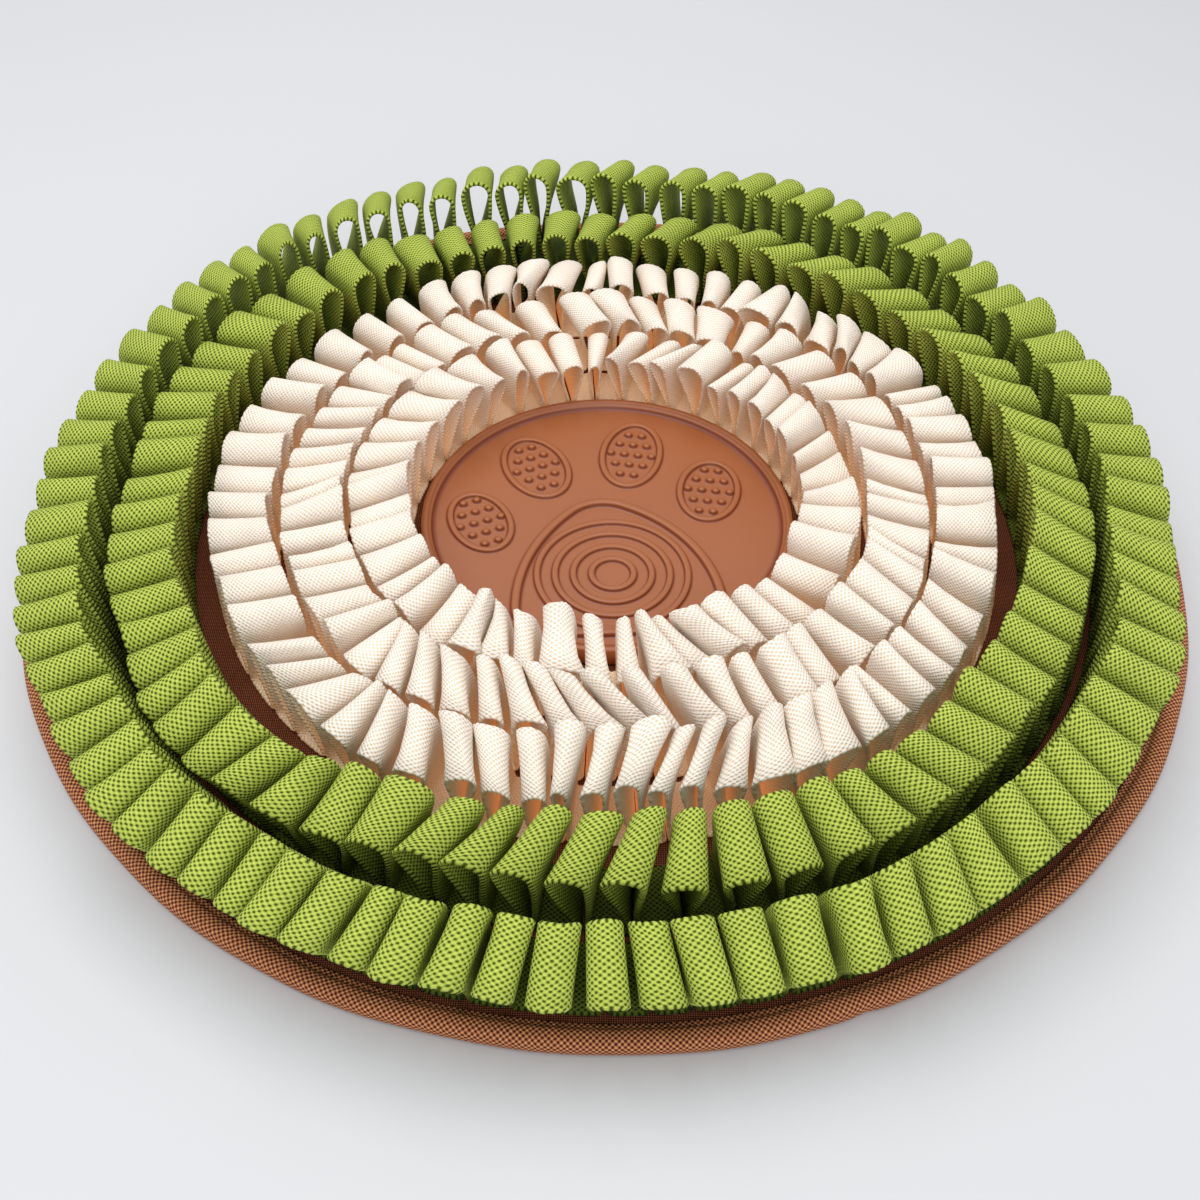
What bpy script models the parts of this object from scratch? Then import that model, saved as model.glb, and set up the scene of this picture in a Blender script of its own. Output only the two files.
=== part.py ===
"""Round snuffle mat: a cloth disc with a bound rim, five rings of tape folded into standing
loops, and a moulded lick pad in the middle.  Metres, +Z up, the origin on the floor under
the middle of the mat, +Y away from the viewer.
"""
import math
import random
from collections import namedtuple

import bmesh
import bpy
from mathutils import Vector

# ---------------------------------------------------------------- driving dimensions (metres)
MAT_RADIUS = 0.225            # to the outside of the bound rim
BASE_HEIGHT = 0.004           # cloth disc, two layers of cloth over thin felt
RIM_WIDTH = 0.007             # binding sewn round the edge
RIM_HEIGHT = 0.0075
RIM_SOFT = 0.0021             # how far the binding's upper edges are rounded off
RIM_FOOT_SOFT = 0.0013        # and its lower one
GAP = 0.0003                  # between pieces that touch
ROUND_STEPS = 72              # sides of the big circles
WELD = 0.00001                # points nearer than this are one point

PAD_RADIUS = 0.0737
PAD_HEIGHT = 0.0078           # from its underside to the top of its lip
PAD_FLOOR = 0.0050            # thickness of its floor
LIP_WIDTH = 0.0040
LIP_SOFT = 0.0008             # how far the lip's edges are rounded off
PAD_STEPS = 60                # sides of the pad
RIDGE_RADIUS = 0.0012         # half width of the low ridges on the pad's floor
RIDGE_SINK = 0.0003           # how far a ridge's centre line lies below the floor
TOE_STEPS = 18                # points round a toe
CORNER_STEPS = 5              # points round a corner of the palm, and along each of its sides
RIPPLE_STEP = 4.5             # spacing of the points round a ripple (mm)

LEAN_POWER = 1.3              # how a loop's lean grows from its sewn foot to its top
NECK = 0.20                   # spacing of a loop's two legs at the foot, as a share of the pitch
SHOULDER = 0.9                # how far the shoulders lie below the top, in half widths of a loop
SHARPEST_MITRE = 0.5          # keeps the tape from growing thick at a sharp fold

# ---------------------------------------------------------------- the rings of loops
# A section is a stretch of a ring, counter-clockwise seen from above, from one azimuth in
# degrees to the next row's.  yaw turns the tops (degrees, + turns the outer end forward of
# the inner one), lean moves them outward (mm), droop tips their outer end down (degrees) and
# tall is their height as a share of the ring's.  A ring's uneven, twist and stray say how much
# its loops differ in place and height (shares), in yaw (degrees) and in lean (mm).
Section = namedtuple("Section", "start loops yaw lean droop tall")
Ring = namedtuple(
    "Ring", "name foot_radius width thick height crown round_top uneven twist stray seed sections")

OUTER_GREEN = (
    Section(1.0, 6, 1, -5, 6, 1.00),
    Section(36.0, 4, -1, 1, 6, 1.01),
    Section(52.4, 3, -12, 2, 7, 1.02),
    Section(64.7, 8, -22, 2, 9, 1.03),
    Section(101.5, 7, -25, 0, 10, 1.03),
    Section(134.6, 7, -14, -2, 11, 1.02),
    Section(169.7, 6, -14, -1, 14, 0.99),
    Section(199.9, 7, -26, 9, 19, 1.00),
    Section(225.7, 5, -2, 16, 23, 1.00),
    Section(243.1, 5, -19, 17, 25, 1.00),
    Section(260.7, 2, -11, 18, 26, 1.00),
    Section(268.1, 3, 13, 18, 25, 1.00),
    Section(279.5, 6, -10, 16, 24, 1.00),
    Section(304.2, 3, -3, 9, 21, 1.00),
    Section(317.2, 4, 11, 5, 19, 1.00),
    Section(334.5, 6, -5, -4, 12, 0.99),
)
INNER_GREEN = (
    Section(0.0, 5, -32, -7, 7, 0.98),
    Section(33.0, 4, -31, -8, 4, 0.98),
    Section(59.0, 2, -44, -5, 6, 0.98),
    Section(71.3, 4, -28, -8, 4, 0.96),
    Section(96.0, 6, -7, -8, 2, 0.96),
    Section(129.8, 2, -12, -4, 2, 0.98),
    Section(142.2, 4, 15, -3, 3, 0.98),
    Section(167.0, 5, 2, -6, 6, 1.00),
    Section(194.2, 6, -14, 3, 13, 1.00),
    Section(222.0, 2, -3, 12, 18, 1.02),
    Section(231.5, 2, -30, 12, 20, 1.00),
    Section(241.0, 1, 8, 8, 21, 0.94),
    Section(246.0, 2, -40, 5, 21, 0.98),
    Section(256.0, 5, -30, 6, 24, 1.02),
    Section(280.8, 3, 2, 7, 24, 1.02),
    Section(295.2, 3, 30, 6, 22, 1.00),
    Section(309.6, 4, 12, -1, 17, 1.00),
    Section(331.0, 5, -18, -4, 11, 1.00),
)
OUTER_CREAM = (
    Section(0.0, 4, -3, -6, 5, 0.95),
    Section(21.7, 3, 12, -7, 3, 0.94),
    Section(38.0, 3, 36, -8, 0, 0.93),
    Section(55.7, 2, -2, -8, 0, 0.94),
    Section(67.4, 4, 22, -8, 0, 0.95),
    Section(91.0, 4, -29, -7, 4, 0.97),
    Section(114.3, 2, -6, -7, 2, 0.97),
    Section(126.0, 7, 1, -6, 4, 0.95),
    Section(180.0, 7, -20, 0, 9, 0.98),
    Section(223.0, 2, -42, 6, 14, 0.98),
    Section(233.4, 2, -4, 8, 17, 1.00),
    Section(243.9, 3, 36, 6, 20, 1.00),
    Section(259.5, 7, -32, 4, 24, 1.04),
    Section(289.0, 3, -28, 6, 23, 1.02),
    Section(302.7, 4, 8, 2, 18, 1.00),
    Section(321.0, 3, -20, -1, 13, 0.97),
    Section(340.5, 3, 32, -5, 7, 0.95),
)
MIDDLE_CREAM = (
    Section(0.0, 5, -26, -7, 5, 0.90),
    Section(47.0, 6, 24, -8, -2, 0.94),
    Section(91.0, 4, 22, -8, -2, 0.92),
    Section(128.0, 3, -3, -7, 1, 0.94),
    Section(147.0, 6, 7, -5, 5, 0.95),
    Section(185.0, 2, 7, -1, 9, 0.97),
    Section(197.0, 3, -20, 1, 11, 0.98),
    Section(215.0, 2, -38, 4, 13, 0.98),
    Section(227.0, 1, 0, 6, 15, 0.98),
    Section(232.4, 3, 42, 7, 17, 1.00),
    Section(248.5, 4, 40, 5, 20, 1.02),
    Section(270.0, 3, 31, 5, 24, 1.06),
    Section(286.5, 3, 3, 6, 22, 1.05),
    Section(303.0, 5, 4, 3, 16, 0.98),
    Section(335.0, 4, -14, -4, 8, 0.92),
)
INNER_CREAM = (
    Section(0.0, 6, 30, -7, 3, 0.92),
    Section(49.0, 2, -6, -8, 0, 0.92),
    Section(65.0, 3, -44, -8, -2, 0.90),
    Section(89.0, 3, -6, -8, -3, 0.86),
    Section(115.0, 6, 13, -6, 2, 0.95),
    Section(176.0, 3, 8, -1, 8, 0.97),
    Section(200.0, 4, -19, 3, 11, 0.98),
    Section(232.0, 2, 2, 7, 17, 1.00),
    Section(244.7, 2, 34, 6, 18, 1.02),
    Section(257.3, 2, 4, 6, 22, 1.06),
    Section(270.0, 2, 11, 6, 24, 1.10),
    Section(283.0, 3, 36, 5, 22, 1.06),
    Section(302.5, 1, 8, 4, 18, 1.00),
    Section(309.0, 5, 24, -2, 9, 0.92),
)

RINGS = (
    Ring("outer_green_loops", 0.2015, 0.0250, 0.0018, 0.0420, 0.73, 2, 0.10, 3, 0.9, 11, OUTER_GREEN),
    Ring("inner_green_loops", 0.1740, 0.0250, 0.0018, 0.0380, 0.73, 2, 0.10, 3, 0.9, 12, INNER_GREEN),
    Ring("outer_cream_loops", 0.1410, 0.0240, 0.0013, 0.0340, 0.74, 1, 0.16, 5, 0.6, 13, OUTER_CREAM),
    Ring("middle_cream_loops", 0.1150, 0.0240, 0.0013, 0.0340, 0.74, 1, 0.16, 5, 0.6, 14, MIDDLE_CREAM),
    Ring("inner_cream_loops", 0.0890, 0.0235, 0.0013, 0.0330, 0.74, 1, 0.16, 5, 0.6, 15, INNER_CREAM),
)

# ---------------------------------------------------------------- the lick pad's pattern
# Centres are seen from above, in millimetres from the middle of the pad.
Oval = namedtuple("Oval", "x y half_width half_length turn")
TOES = (
    Oval(-50.2, -3.6, 12.6, 16.6, 5),
    Oval(-29.4, 30.0, 13.4, 19.0, 3),
    Oval(9.7, 38.8, 12.6, 20.2, -2),
    Oval(41.2, 17.4, 12.4, 18.4, -4),
)
Corner = namedtuple("Corner", "x y radius bow")      # bow is the radius of the side that follows
PALM = (
    Corner(-1.3, -8.8, 17.8, 74.0),
    Corner(-21.5, -50.5, 12.5, 230.0),
    Corner(31.5, -45.5, 12.3, 62.0),
)
RIPPLE_CENTRE = (2.3, -31.5)
RIPPLE_RADII = (8.1, 15.1, 22.1, 29.0)

# ---------------------------------------------------------------- colours (linear RGB)
LEAF_GREEN = (0.24, 0.42, 0.06)
CREAM = (0.90, 0.74, 0.58)
BARK_BROWN = (0.16, 0.05, 0.02)
COCOA = (0.33, 0.12, 0.06)

MM = 0.001


def clear_scene():
    """Remove what the scene holds, and give back the two collections."""
    for thing in list(bpy.data.objects):
        bpy.data.objects.remove(thing, do_unlink=True)
    collections = []
    for title in ("snuffle_mat", "cutters"):
        group = bpy.data.collections.new(title)
        bpy.context.scene.collection.children.link(group)
        collections.append(group)
    return collections


def finish(name, colour, roughness):
    """A plain Principled material."""
    material = bpy.data.materials.new(name)
    material.use_nodes = True
    shader = material.node_tree.nodes["Principled BSDF"]
    shader.inputs["Base Color"].default_value = (*colour, 1.0)
    shader.inputs["Roughness"].default_value = roughness
    shader.inputs["Metallic"].default_value = 0.0
    return material


def object_from(name, mesh, group, material):
    thing = bpy.data.objects.new(name, mesh)
    group.objects.link(thing)
    thing.data.materials.clear()
    thing.data.materials.append(material)
    return thing


def turned(name, profile, steps, group, material):
    """A profile of (radius, height) points, outer side first, turned once round Z."""
    mesh = bpy.data.meshes.new(name)
    points = [(radius, 0.0, height) for radius, height in profile]
    closed = profile[0][0] > 0.0 and profile[-1][0] > 0.0
    edges = [(i, i + 1) for i in range(len(points) - 1)]
    if closed:
        edges.append((len(points) - 1, 0))
    mesh.from_pydata(points, edges, [])
    thing = object_from(name, mesh, group, material)
    screw = thing.modifiers.new("Turn", "SCREW")
    screw.steps = steps
    screw.render_steps = steps
    screw.use_merge_vertices = True
    screw.merge_threshold = WELD
    return thing


# ---------------------------------------------------------------- cloth base and its rim
def cloth_base(group, material):
    """The flat disc that everything is sewn to, inside the binding."""
    bpy.ops.mesh.primitive_cylinder_add(
        vertices=ROUND_STEPS, radius=MAT_RADIUS - RIM_WIDTH - GAP, depth=BASE_HEIGHT,
        location=(0.0, 0.0, BASE_HEIGHT / 2))
    thing = bpy.context.object
    thing.name = "base_mat"
    for old in list(thing.users_collection):
        old.objects.unlink(thing)
    group.objects.link(thing)
    thing.data.materials.append(material)
    return thing


def edge_binding(group, material):
    """A rounded roll of cloth round the edge, flat where it lies on the floor."""
    inner = MAT_RADIUS - RIM_WIDTH
    profile = [
        (MAT_RADIUS - RIM_SOFT, RIM_HEIGHT),
        (MAT_RADIUS, RIM_HEIGHT - RIM_SOFT),
        (MAT_RADIUS, RIM_FOOT_SOFT),
        (MAT_RADIUS - RIM_FOOT_SOFT, 0.0),
        (inner, 0.0),
        (inner, RIM_HEIGHT - RIM_SOFT),
        (inner + RIM_SOFT, RIM_HEIGHT),
    ]
    return turned("edge_binding", profile, ROUND_STEPS, group, material)


# ---------------------------------------------------------------- lick pad
def closed_tube(points, height, name, group):
    """A round bar along a closed line of (x, y) points, as a mesh with no open end."""
    curve = bpy.data.curves.new(name, "CURVE")
    curve.dimensions = "3D"
    curve.bevel_depth = RIDGE_RADIUS
    curve.bevel_resolution = 1
    spline = curve.splines.new("POLY")
    spline.points.add(len(points) - 1)
    for spot, (x, y) in zip(spline.points, points):
        spot.co = (x, y, height, 1.0)
    spline.use_cyclic_u = True
    source = bpy.data.objects.new(name, curve)
    group.objects.link(source)
    bpy.context.view_layer.update()
    graph = bpy.context.evaluated_depsgraph_get()
    mesh = bpy.data.meshes.new_from_object(source.evaluated_get(graph))
    solid = bpy.data.objects.new(name, mesh)
    solid.matrix_world = source.matrix_world.copy()
    bpy.data.objects.remove(source, do_unlink=True)
    shape = bmesh.new()
    shape.from_mesh(mesh)
    bmesh.ops.remove_doubles(shape, verts=shape.verts, dist=WELD)
    bmesh.ops.recalc_face_normals(shape, faces=shape.faces)
    shape.to_mesh(mesh)
    shape.free()
    group.objects.link(solid)
    solid.hide_render = True
    solid.display_type = "WIRE"
    return solid


def oval_points(oval, count):
    """Points round one toe."""
    turn = math.radians(oval.turn)
    points = []
    for i in range(count):
        angle = 2 * math.pi * i / count
        x = oval.half_width * math.cos(angle) * MM
        y = oval.half_length * math.sin(angle) * MM
        points.append((oval.x * MM + x * math.cos(turn) - y * math.sin(turn),
                       oval.y * MM + x * math.sin(turn) + y * math.cos(turn)))
    return points


def bow_centre(first, second):
    """The centre of the side that touches two corners' circles from outside, bowed outward."""
    to_first = first.bow - first.radius
    to_second = first.bow - second.radius
    dx = second.x - first.x
    dy = second.y - first.y
    span = math.hypot(dx, dy)
    along = (to_first ** 2 - to_second ** 2 + span ** 2) / (2 * span)
    aside = math.sqrt(to_first ** 2 - along ** 2)
    return (first.x + (along * dx - aside * dy) / span, first.y + (along * dy + aside * dx) / span)


def arc_points(x, y, radius, start, end):
    """Points along an arc, counter-clockwise, without its last one."""
    while end < start:
        end += 2 * math.pi
    angles = [start + (end - start) * step / CORNER_STEPS for step in range(CORNER_STEPS)]
    return [((x + radius * math.cos(angle)) * MM, (y + radius * math.sin(angle)) * MM)
            for angle in angles]


def bowed_outline(corners):
    """An outline of round corners joined by bowed sides, counter-clockwise."""
    count = len(corners)
    sides = [bow_centre(corner, corners[(i + 1) % count]) for i, corner in enumerate(corners)]
    points = []
    for i, corner in enumerate(corners):
        after = corners[(i + 1) % count]
        before_x, before_y = sides[i - 1]
        x, y = sides[i]
        start = math.atan2(corner.y - before_y, corner.x - before_x)
        turn = math.atan2(corner.y - y, corner.x - x)
        end = math.atan2(after.y - y, after.x - x)
        points += arc_points(corner.x, corner.y, corner.radius, start, turn)
        points += arc_points(x, y, corner.bow, turn, end)
    return points


def lick_pad(group, cutters, material):
    """A shallow dish with a lip, and a paw of low ridges moulded on its floor."""
    under = BASE_HEIGHT + GAP
    floor = under + PAD_FLOOR
    top = under + PAD_HEIGHT
    profile = [
        (0.0, floor),
        (PAD_RADIUS - LIP_WIDTH, floor),
        (PAD_RADIUS - LIP_WIDTH + LIP_SOFT, top),
        (PAD_RADIUS - LIP_SOFT, top),
        (PAD_RADIUS, top - LIP_SOFT),
        (PAD_RADIUS, under),
        (0.0, under),
    ]
    pad = turned("lick_pad", profile, PAD_STEPS, group, material)
    line = floor - RIDGE_SINK
    ridges = [closed_tube(oval_points(oval, TOE_STEPS), line, "toe_ridge_%d" % i, cutters)
              for i, oval in enumerate(TOES)]
    ridges.append(closed_tube(bowed_outline(PALM), line, "palm_ridge", cutters))
    for i, radius in enumerate(RIPPLE_RADII):
        ring = Oval(RIPPLE_CENTRE[0], RIPPLE_CENTRE[1], radius, radius, 0)
        steps = round(2 * math.pi * radius / RIPPLE_STEP)
        ridges.append(closed_tube(oval_points(ring, steps), line, "ripple_%d" % i, cutters))
    for ridge in ridges:
        join = pad.modifiers.new(ridge.name, "BOOLEAN")
        join.operation = "UNION"
        join.solver = "EXACT"
        join.object = ridge
    return pad


# ---------------------------------------------------------------- folded tape
Loop = namedtuple("Loop", "azimuth yaw lean droop tall")


def section_value(ring, azimuth, field):
    """A column of the ring's table, blended smoothly between the middles of its sections."""
    count = len(ring.sections)
    middles = []
    for i, section in enumerate(ring.sections):
        end = ring.sections[(i + 1) % count].start
        if end <= section.start:
            end += 360.0
        middles.append((section.start + end) / 2)
    azimuth = (azimuth - middles[0]) % 360.0 + middles[0]
    for i in range(count):
        after = middles[i + 1] if i + 1 < count else middles[0] + 360.0
        if azimuth <= after:
            share = (azimuth - middles[i]) / (after - middles[i])
            share = share * share * (3 - 2 * share)
            first = getattr(ring.sections[i], field)
            second = getattr(ring.sections[(i + 1) % count], field)
            return first + (second - first) * share
    return getattr(ring.sections[0], field)


def ring_loops(ring):
    """Every loop of a ring in order, with the small differences that folding by hand gives."""
    chance = random.Random(ring.seed)
    loops = []
    count = len(ring.sections)
    for i, section in enumerate(ring.sections):
        end = ring.sections[(i + 1) % count].start
        if end <= section.start:
            end += 360.0
        step = (end - section.start) / section.loops
        for k in range(section.loops):
            azimuth = section.start + (k + 0.5 + chance.uniform(-1, 1) * ring.uneven) * step
            tall = section.tall * (1 + chance.uniform(-1, 1) * ring.uneven / 2)
            twist = chance.uniform(-1, 1) * ring.twist
            stray = chance.uniform(-1, 1) * ring.stray
            loops.append(Loop(
                azimuth,
                section_value(ring, azimuth, "yaw") + twist,
                section_value(ring, azimuth, "lean") + stray,
                section_value(ring, azimuth, "droop"),
                tall))
    return loops


def between_loops(loops, azimuth, field):
    """A value at any azimuth, in proportion between the two loops on either side of it."""
    azimuth = (azimuth - loops[0].azimuth) % 360.0 + loops[0].azimuth
    for i, loop in enumerate(loops):
        after = loops[(i + 1) % len(loops)]
        end = after.azimuth + (360.0 if i + 1 == len(loops) else 0.0)
        if azimuth <= end:
            share = (azimuth - loop.azimuth) / (end - loop.azimuth)
            return getattr(loop, field) + (getattr(after, field) - getattr(loop, field)) * share
    return getattr(loops[0], field)


def tape_path(ring, loops):
    """The tape's middle line, as (azimuth in degrees, height) all round the ring."""
    path = []
    count = len(loops)
    for i, loop in enumerate(loops):
        azimuth = loop.azimuth
        left = (azimuth - loops[i - 1].azimuth) % 360.0 / 2
        right = (loops[(i + 1) % count].azimuth - azimuth) % 360.0 / 2
        top = ring.height * loop.tall
        half = math.radians(left + right) / 2 * ring.foot_radius * ring.crown
        shoulder = top - half * SHOULDER
        path.append((azimuth - left * NECK, 0.0))
        path.append((azimuth - left * ring.crown, shoulder))
        if ring.round_top == 2:
            path.append((azimuth - left * ring.crown / 2, top))
            path.append((azimuth + right * ring.crown / 2, top))
        else:
            path.append((azimuth, top))
        path.append((azimuth + right * ring.crown, shoulder))
        path.append((azimuth + right * NECK, 0.0))
    return path


def both_faces(ring, path):
    """The tape's two faces, each half a thickness from its middle line."""
    scale = math.radians(1.0) * ring.foot_radius
    count = len(path)
    faces = []
    for i, (azimuth, height) in enumerate(path):
        before = path[i - 1]
        after = path[(i + 1) % count]
        from_before = Vector(((azimuth - before[0] + 180) % 360 - 180, 0)) * scale
        from_before.y = height - before[1]
        to_after = Vector(((after[0] - azimuth + 180) % 360 - 180, 0)) * scale
        to_after.y = after[1] - height
        first = Vector((-from_before.y, from_before.x)).normalized()
        second = Vector((-to_after.y, to_after.x)).normalized()
        middle = (first + second).normalized()
        reach = ring.thick / 2 / max(SHARPEST_MITRE, middle.dot(first))
        offset = middle * reach
        faces.append(((azimuth + offset.x / scale, height + offset.y),
                      (azimuth - offset.x / scale, height - offset.y)))
    return faces


def stand(ring, loops, azimuth, across, height):
    """Where a point of the tape lies once its loops are turned, leant and tipped."""
    grown = max(0.0, height / ring.height) ** LEAN_POWER
    lean = between_loops(loops, azimuth, "lean") * MM
    yaw = math.radians(between_loops(loops, azimuth, "yaw"))
    droop = math.radians(between_loops(loops, azimuth, "droop"))
    level = across * (1 + (math.cos(droop) * math.cos(yaw) - 1) * grown)
    radius = ring.foot_radius + level + lean * grown
    angle = math.radians(azimuth) + level * math.tan(yaw) * grown / radius
    lowered = height * math.cos(math.asin(lean / ring.height)) if height > 0 else height
    seat = BASE_HEIGHT + GAP + ring.thick / 2
    z = seat + lowered - across * math.sin(droop) * grown
    return Vector((radius * math.cos(angle), radius * math.sin(angle), z))


def skinned(shape, row, ahead, rising):
    """The four long faces from one row of corners to the next.

    Turned loops twist these faces, so each is split in two by hand.  Every leg is split the
    same way in space, whether the tape climbs or comes down, and so are its two faces, which
    keeps the tape's thickness and keeps neighbouring legs apart.
    """
    for near, far in ((0, 1), (3, 2)):
        split = ((near, far) if rising else (far, near))
        shape.faces.new((row[split[0]], row[split[1]], ahead[split[1]]))
        shape.faces.new((row[split[0]], ahead[split[1]], ahead[split[0]]))
    for near, far in ((1, 2), (3, 0)):
        shape.faces.new((row[near], row[far], ahead[far]))
        shape.faces.new((row[near], ahead[far], ahead[near]))


def folded_tape(ring, group, material):
    """One length of tape, its ends lapped, folded into loops that stand round the ring."""
    loops = ring_loops(ring)
    path = tape_path(ring, loops)
    inner = -ring.width / 2
    outer = ring.width / 2
    shape = bmesh.new()
    rows = []
    for top_face, under_face in both_faces(ring, path):
        corners = ((top_face, inner), (top_face, outer), (under_face, outer), (under_face, inner))
        rows.append([shape.verts.new(stand(ring, loops, face[0], across, face[1]))
                     for face, across in corners])
    for i, row in enumerate(rows):
        after = (i + 1) % len(rows)
        skinned(shape, row, rows[after], path[after][1] >= path[i][1])
    bmesh.ops.recalc_face_normals(shape, faces=shape.faces)
    mesh = bpy.data.meshes.new(ring.name)
    shape.to_mesh(mesh)
    shape.free()
    return object_from(ring.name, mesh, group, material)


def build():
    group, cutters = clear_scene()
    oxford = finish("brown_oxford_cloth", BARK_BROWN, 0.85)
    cloth_base(group, oxford)
    edge_binding(group, oxford)
    lick_pad(group, cutters, finish("cocoa_silicone", COCOA, 0.45))
    green = finish("green_tape", LEAF_GREEN, 0.85)
    cream = finish("cream_tape", CREAM, 0.85)
    for ring in RINGS:
        folded_tape(ring, group, green if "green" in ring.name else cream)


build()
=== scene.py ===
# %% [markdown]
# # A round snuffle mat
#
# A snuffle mat is a cloth mat that hides food.  This one has a round cloth base with a bound rim,
# five rings of tape folded into standing loops, and a moulded silicone lick pad in the middle.
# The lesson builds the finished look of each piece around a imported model, which fixes how large
# each piece is and where it lies.  Lengths are in metres unless a comment says otherwise, +Z is up,
# +Y points away from the viewer and the origin lies on the floor under the middle of the mat.

import math
import random
from collections import namedtuple

import bpy
import numpy as np
from mathutils import Matrix, Vector


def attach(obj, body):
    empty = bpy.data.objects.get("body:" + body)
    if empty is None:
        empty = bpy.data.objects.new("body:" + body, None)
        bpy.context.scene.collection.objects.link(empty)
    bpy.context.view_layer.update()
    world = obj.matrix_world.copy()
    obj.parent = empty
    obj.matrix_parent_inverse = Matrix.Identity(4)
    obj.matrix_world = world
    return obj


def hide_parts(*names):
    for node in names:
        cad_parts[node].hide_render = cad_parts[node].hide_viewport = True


MM = 0.001

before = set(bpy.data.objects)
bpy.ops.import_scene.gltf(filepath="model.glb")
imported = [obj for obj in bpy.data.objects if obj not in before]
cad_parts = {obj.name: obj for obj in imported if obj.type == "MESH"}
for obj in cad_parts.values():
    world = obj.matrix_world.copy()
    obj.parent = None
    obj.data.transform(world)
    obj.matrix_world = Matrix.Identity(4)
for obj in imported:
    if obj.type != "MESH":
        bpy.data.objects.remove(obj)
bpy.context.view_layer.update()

# %% [markdown]
# ## A bench for materials
#
# A weave or a moulded finish is a small formula over the surface.  Blender stores formulas as
# nodes, which are slow to read in a script, so a small class wraps a socket and lets Python's own
# operators add the Math nodes.  A bench holds one material and has one method for every other
# kind of node.

# %% A socket that can be added and multiplied
class Wire:
    """One output socket on a bench.  Sums, products and powers of wires become Math nodes."""

    def __init__(self, bench, socket):
        self.bench = bench
        self.socket = socket

    def __add__(self, other):
        return self.bench.maths("ADD", self, other)

    def __radd__(self, other):
        return self.bench.maths("ADD", other, self)

    def __sub__(self, other):
        return self.bench.maths("SUBTRACT", self, other)

    def __rsub__(self, other):
        return self.bench.maths("SUBTRACT", other, self)

    def __mul__(self, other):
        return self.bench.maths("MULTIPLY", self, other)

    def __rmul__(self, other):
        return self.bench.maths("MULTIPLY", other, self)

    def __pow__(self, other):
        return self.bench.maths("POWER", self, other)

    def cosine(self):
        return self.bench.maths("COSINE", self)


print("a wire stands for one value on a surface")

# %% [markdown]
# The bench starts from Blender's Principled shader, which suits cloth and silicone alike.  Its fixed
# settings are given by name when the bench is made.  Only what changes over the surface, such as the
# colour of a thread against the pit beside it, is wired up afterwards.

# %% A bench that holds one material
class Bench:
    """One material under construction, with its Principled shader."""

    def __init__(self, name, **finish):
        self.material = bpy.data.materials.new(name)
        self.material.use_nodes = True
        self.tree = self.material.node_tree
        self.shader = self.tree.nodes["Principled BSDF"]
        for title, value in finish.items():
            title = title.replace("_", " ").title().replace("Ior", "IOR")
            self.shader.inputs[title].default_value = value

    def node(self, kind, settings=None, inputs=None, output=0):
        """Any node: its type, its settings, then the values or wires of its sockets."""
        made = self.tree.nodes.new(kind)
        for title, value in (settings or {}).items():
            setattr(made, title, value)
        for title, value in (inputs or {}).items():
            if isinstance(value, Wire):
                self.tree.links.new(value.socket, made.inputs[title])
            else:
                made.inputs[title].default_value = value
        return Wire(self, made.outputs[output])

    def maths(self, operation, first, second=0.0):
        return self.node("ShaderNodeMath", {"operation": operation}, {0: first, 1: second})

    def mix(self, share, low, high):
        """A colour between low and high."""
        settings = {"data_type": "RGBA", "clamp_factor": True}
        return self.node("ShaderNodeMix", settings, {0: share, 6: low, 7: high}, output=2)

    def noise(self, place, scale, detail=2.0):
        inputs = {"Vector": place, "Scale": scale, "Detail": detail}
        return self.node("ShaderNodeTexNoise", {}, inputs)

    def cloth_plane(self):
        """The place on the flat cloth in millimetres: across the tape, and along it."""
        place = self.node("ShaderNodeUVMap", {"uv_map": "cloth"})
        apart = {"Vector": place}
        across = self.node("ShaderNodeSeparateXYZ", {}, apart, output=0)
        along = self.node("ShaderNodeSeparateXYZ", {}, apart, output=1)
        return across * 1000.0, along * 1000.0

    def place(self):
        return self.node("ShaderNodeTexCoord", output=3)

    def height_above_floor(self):
        return self.node("ShaderNodeSeparateXYZ", {}, {"Vector": self.place()}, output=2)

    def tint(self, share, colour, tone):
        """A colour multiplied by a tone, as far as share says."""
        product = {"data_type": "RGBA", "blend_type": "MULTIPLY", "clamp_factor": True}
        return self.node("ShaderNodeMix", product, {0: share, 6: colour, 7: tone}, output=2)

    def wear(self, title, value):
        """Lay a wire on a socket of the shader."""
        self.tree.links.new(value.socket, self.shader.inputs[title])

    def bump(self, height, depth):
        """Raise the surface by height (0 to 1) times depth in metres."""
        inputs = {"Strength": 1.0, "Distance": depth, "Height": height}
        self.wear("Normal", self.node("ShaderNodeBump", {}, inputs))


def linear(red, green, blue):
    """A colour as it is read off a screen, 0 to 255, for a shader."""
    channels = []
    for value in (red, green, blue):
        share = value / 255
        channels.append(share / 12.92 if share <= 0.04045 else ((share + 0.055) / 1.055) ** 2.4)
    return (*channels, 1.0)


print("the bench is ready")

# %% [markdown]
# ## The woven tapes
#
# The green tape is a soft basket weave: rows of plump grains, each row set half a grain to the
# side of the last, with a small dark pit between the grains.  Two cosines multiplied give exactly
# that staggered pattern, and a power makes the grains broad and the pits narrow.  The cream tape
# has the same build in a finer, softer yarn, the binding has it in a coarse one, and the base cloth
# is a plain weave whose grains stand in rows, so one function weaves them all.
#
# A weave could also be modelled thread by thread, but at two millimetres a grain the mat would need
# millions of faces.  A formula over the flat cloth gives the same grains and follows every fold.

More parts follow.
